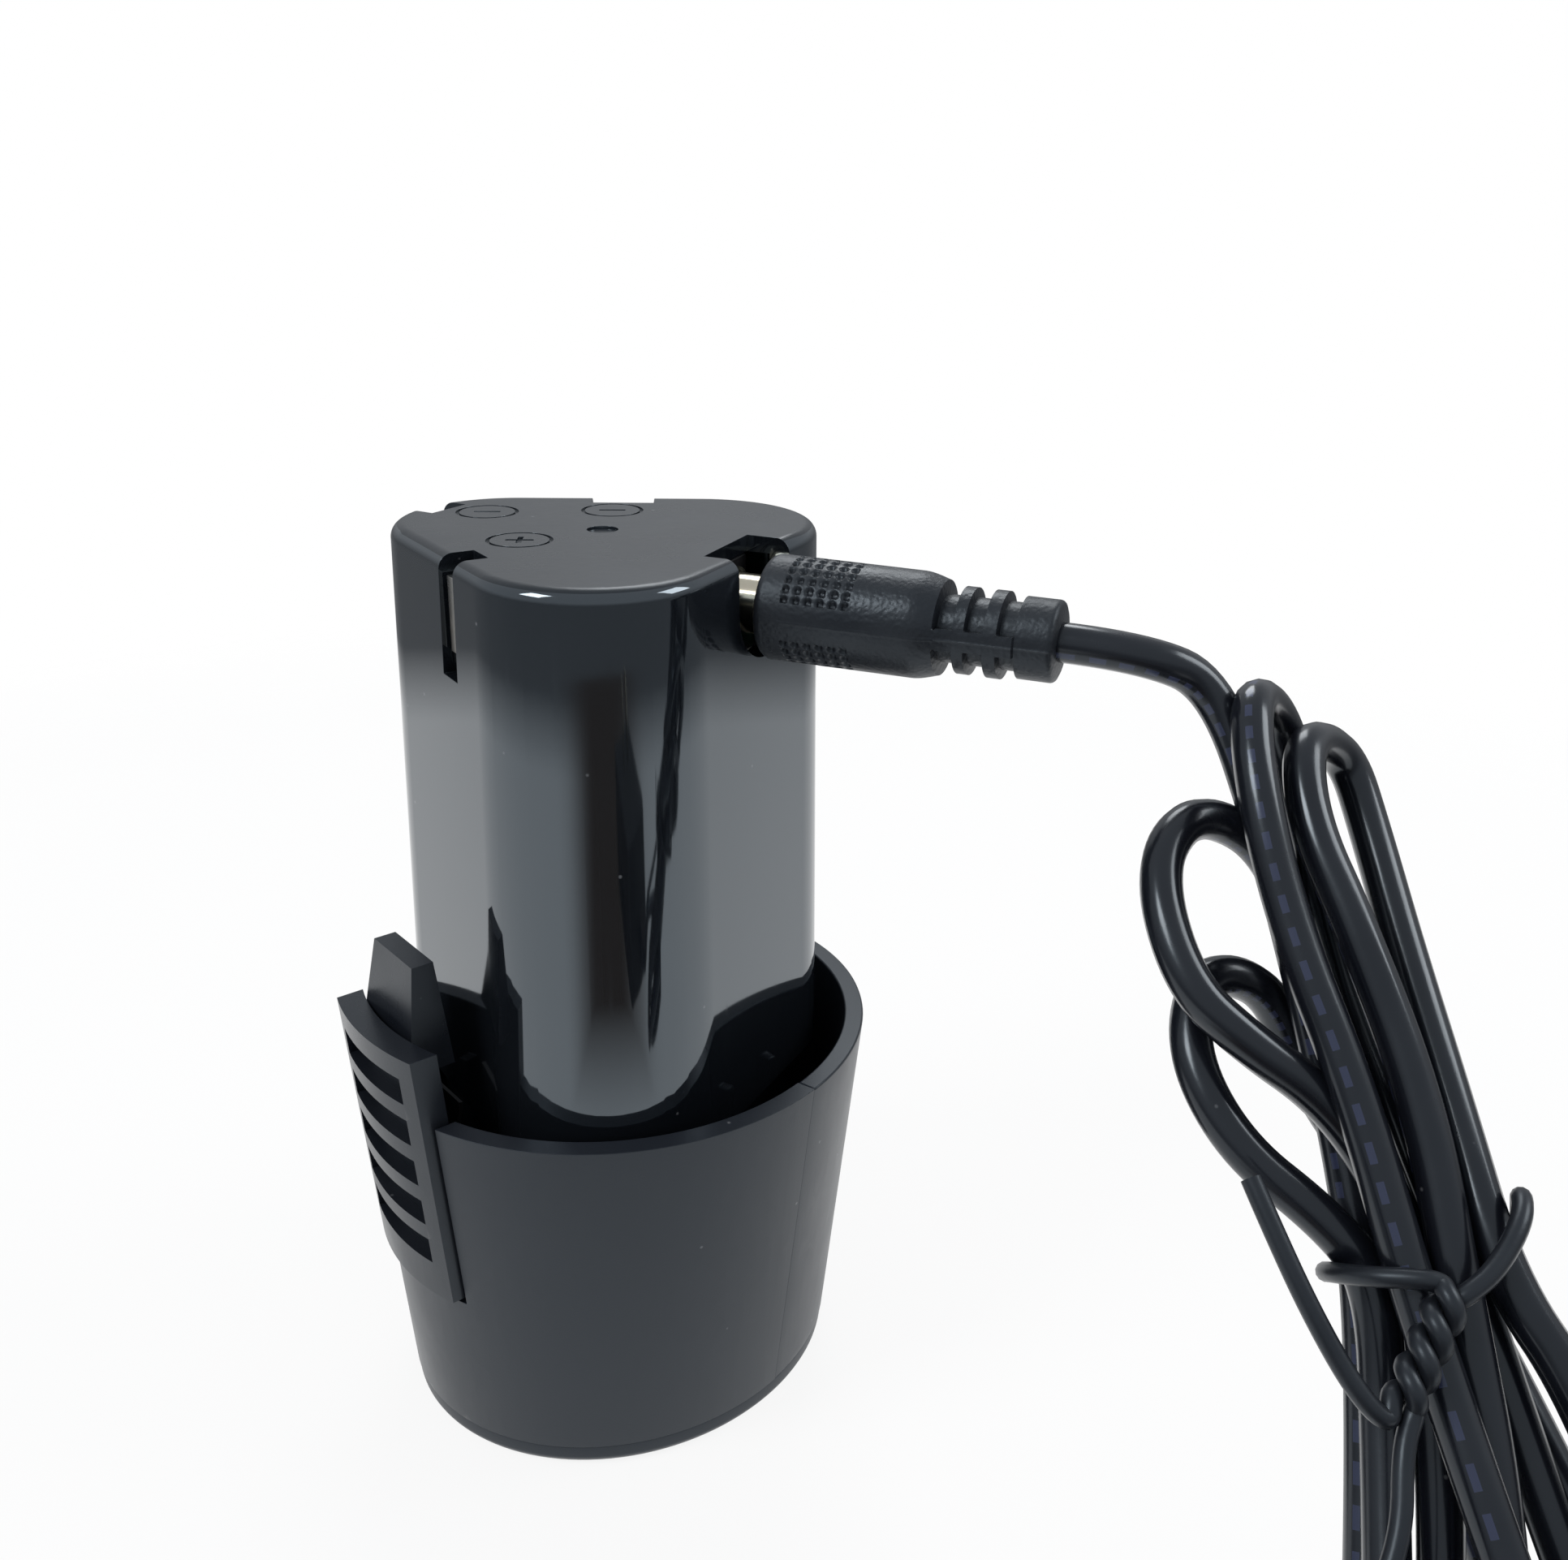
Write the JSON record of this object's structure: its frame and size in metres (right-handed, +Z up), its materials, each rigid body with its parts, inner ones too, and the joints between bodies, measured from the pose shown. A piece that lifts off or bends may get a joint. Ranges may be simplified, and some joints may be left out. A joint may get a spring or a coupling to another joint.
{
  "type": "power tool battery charger",
  "caption": "Slide-in rechargeable pack on an oval cup base with a hinged release latch, on charge through a barrel plug from a plug-top supply on a tied cord.",
  "frame": {"origin": "centre of the flat foot under the axis of the three-cell stem", "axes": "+Z up along the stem, -Y towards the stem's front corner, +X to the right seen from the front"},
  "size_m": [0.1125, 0.1962, 0.0926],
  "materials": {
    "housing": "polished moulded plastic",
    "cup": "satin moulded plastic",
    "latch": "satin moulded plastic",
    "cell_wrap": "shrink sleeve over a steel can",
    "holder": "natural moulded plastic",
    "strip": "nickel strip",
    "board": "printed circuit board",
    "blade": "plated spring metal",
    "jack": "moulded plastic",
    "plated": "nickel plated",
    "steel": "zinc plated steel",
    "overmould": "grained soft moulding",
    "cord": "glossy sheath",
    "tie": "coated wire",
    "supply": "fine grained moulding",
    "ferrite": "taped winding on a ferrite core",
    "capacitor": "sleeved can"
  },
  "bodies": {
    "pack": {"cup_front_shell": "cup", "cup_back_shell": "cup", "bottom_cover": "cup", "cover_screws": "steel", "stem_housing": "housing", "contact_plus": "blade", "contact_minus": "blade", "contact_sense": "blade", "cell_front": "cell_wrap", "cell_right": "cell_wrap", "cell_left": "cell_wrap", "cell_holder_lower": "holder", "cell_holder_upper": "holder", "protection_board": "board", "link_strip_lower": "strip", "link_strip_upper": "strip", "jack_body": "jack", "jack_sleeve": "plated", "jack_centre_pin": "plated", "latch_pin": "steel"},
    "latch": {"latch_button": "latch", "latch_leaf_spring": "steel"},
    "lead": {"plug_barrel": "plated", "plug_insulator": "jack", "plug_tip_contact": "plated", "plug_overmould": "overmould", "cord_free": "cord", "cord_hank": "cord", "cord_tail": "cord", "wire_tie": "tie", "supply_case_lower": "supply", "supply_case_upper": "supply", "supply_prongs": "plated", "supply_cord_relief": "overmould", "supply_board": "board", "supply_board_posts": "supply", "supply_transformer": "ferrite", "supply_capacitor": "capacitor", "supply_output_capacitor": "capacitor"}
  },
  "joints": [
    {"name": "latch_press", "type": "hinge", "parent": "pack", "child": "latch", "pos_m": [-0.01629, -0.01228, 0.0228], "axis": [-0.6018, 0.7986, 0], "range_deg": [0, 4], "stiffness_Nm_per_rad": 0.6, "springref_deg": -5.73},
    {"name": "plug_withdraw", "type": "slide", "parent": "pack", "child": "lead", "axis": [0.9063, -0.4226, 0], "range_m": [0, 0.0065]}
  ]
}
